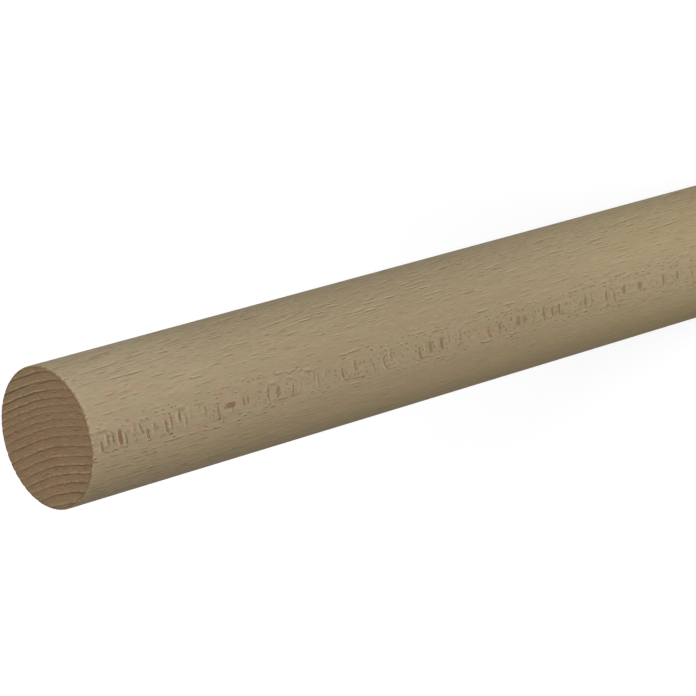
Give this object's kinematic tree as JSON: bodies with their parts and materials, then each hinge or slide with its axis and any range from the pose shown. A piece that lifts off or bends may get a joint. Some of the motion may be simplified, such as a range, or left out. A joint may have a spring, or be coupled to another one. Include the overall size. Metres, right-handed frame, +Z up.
{
  "type": "wooden dowel rod",
  "caption": "Round solid beech dowel rod with square-cut ends and lightly rounded rims, for pegs, rails and turned parts.",
  "frame": {"origin": "middle of the lower cut end, on the surface that the rod stands on", "axes": "+Z up along the rod's axis; -Y is the side that shows the ray flecks, and +X is the side nearest the bark"},
  "size_m": [0.04, 0.04, 0.3],
  "materials": {
    "beech": "bare sanded beech, matt, with darker sawn end grain"
  },
  "bodies": {
    "root": {"dowel_rod": "beech"}
  },
  "joints": []
}
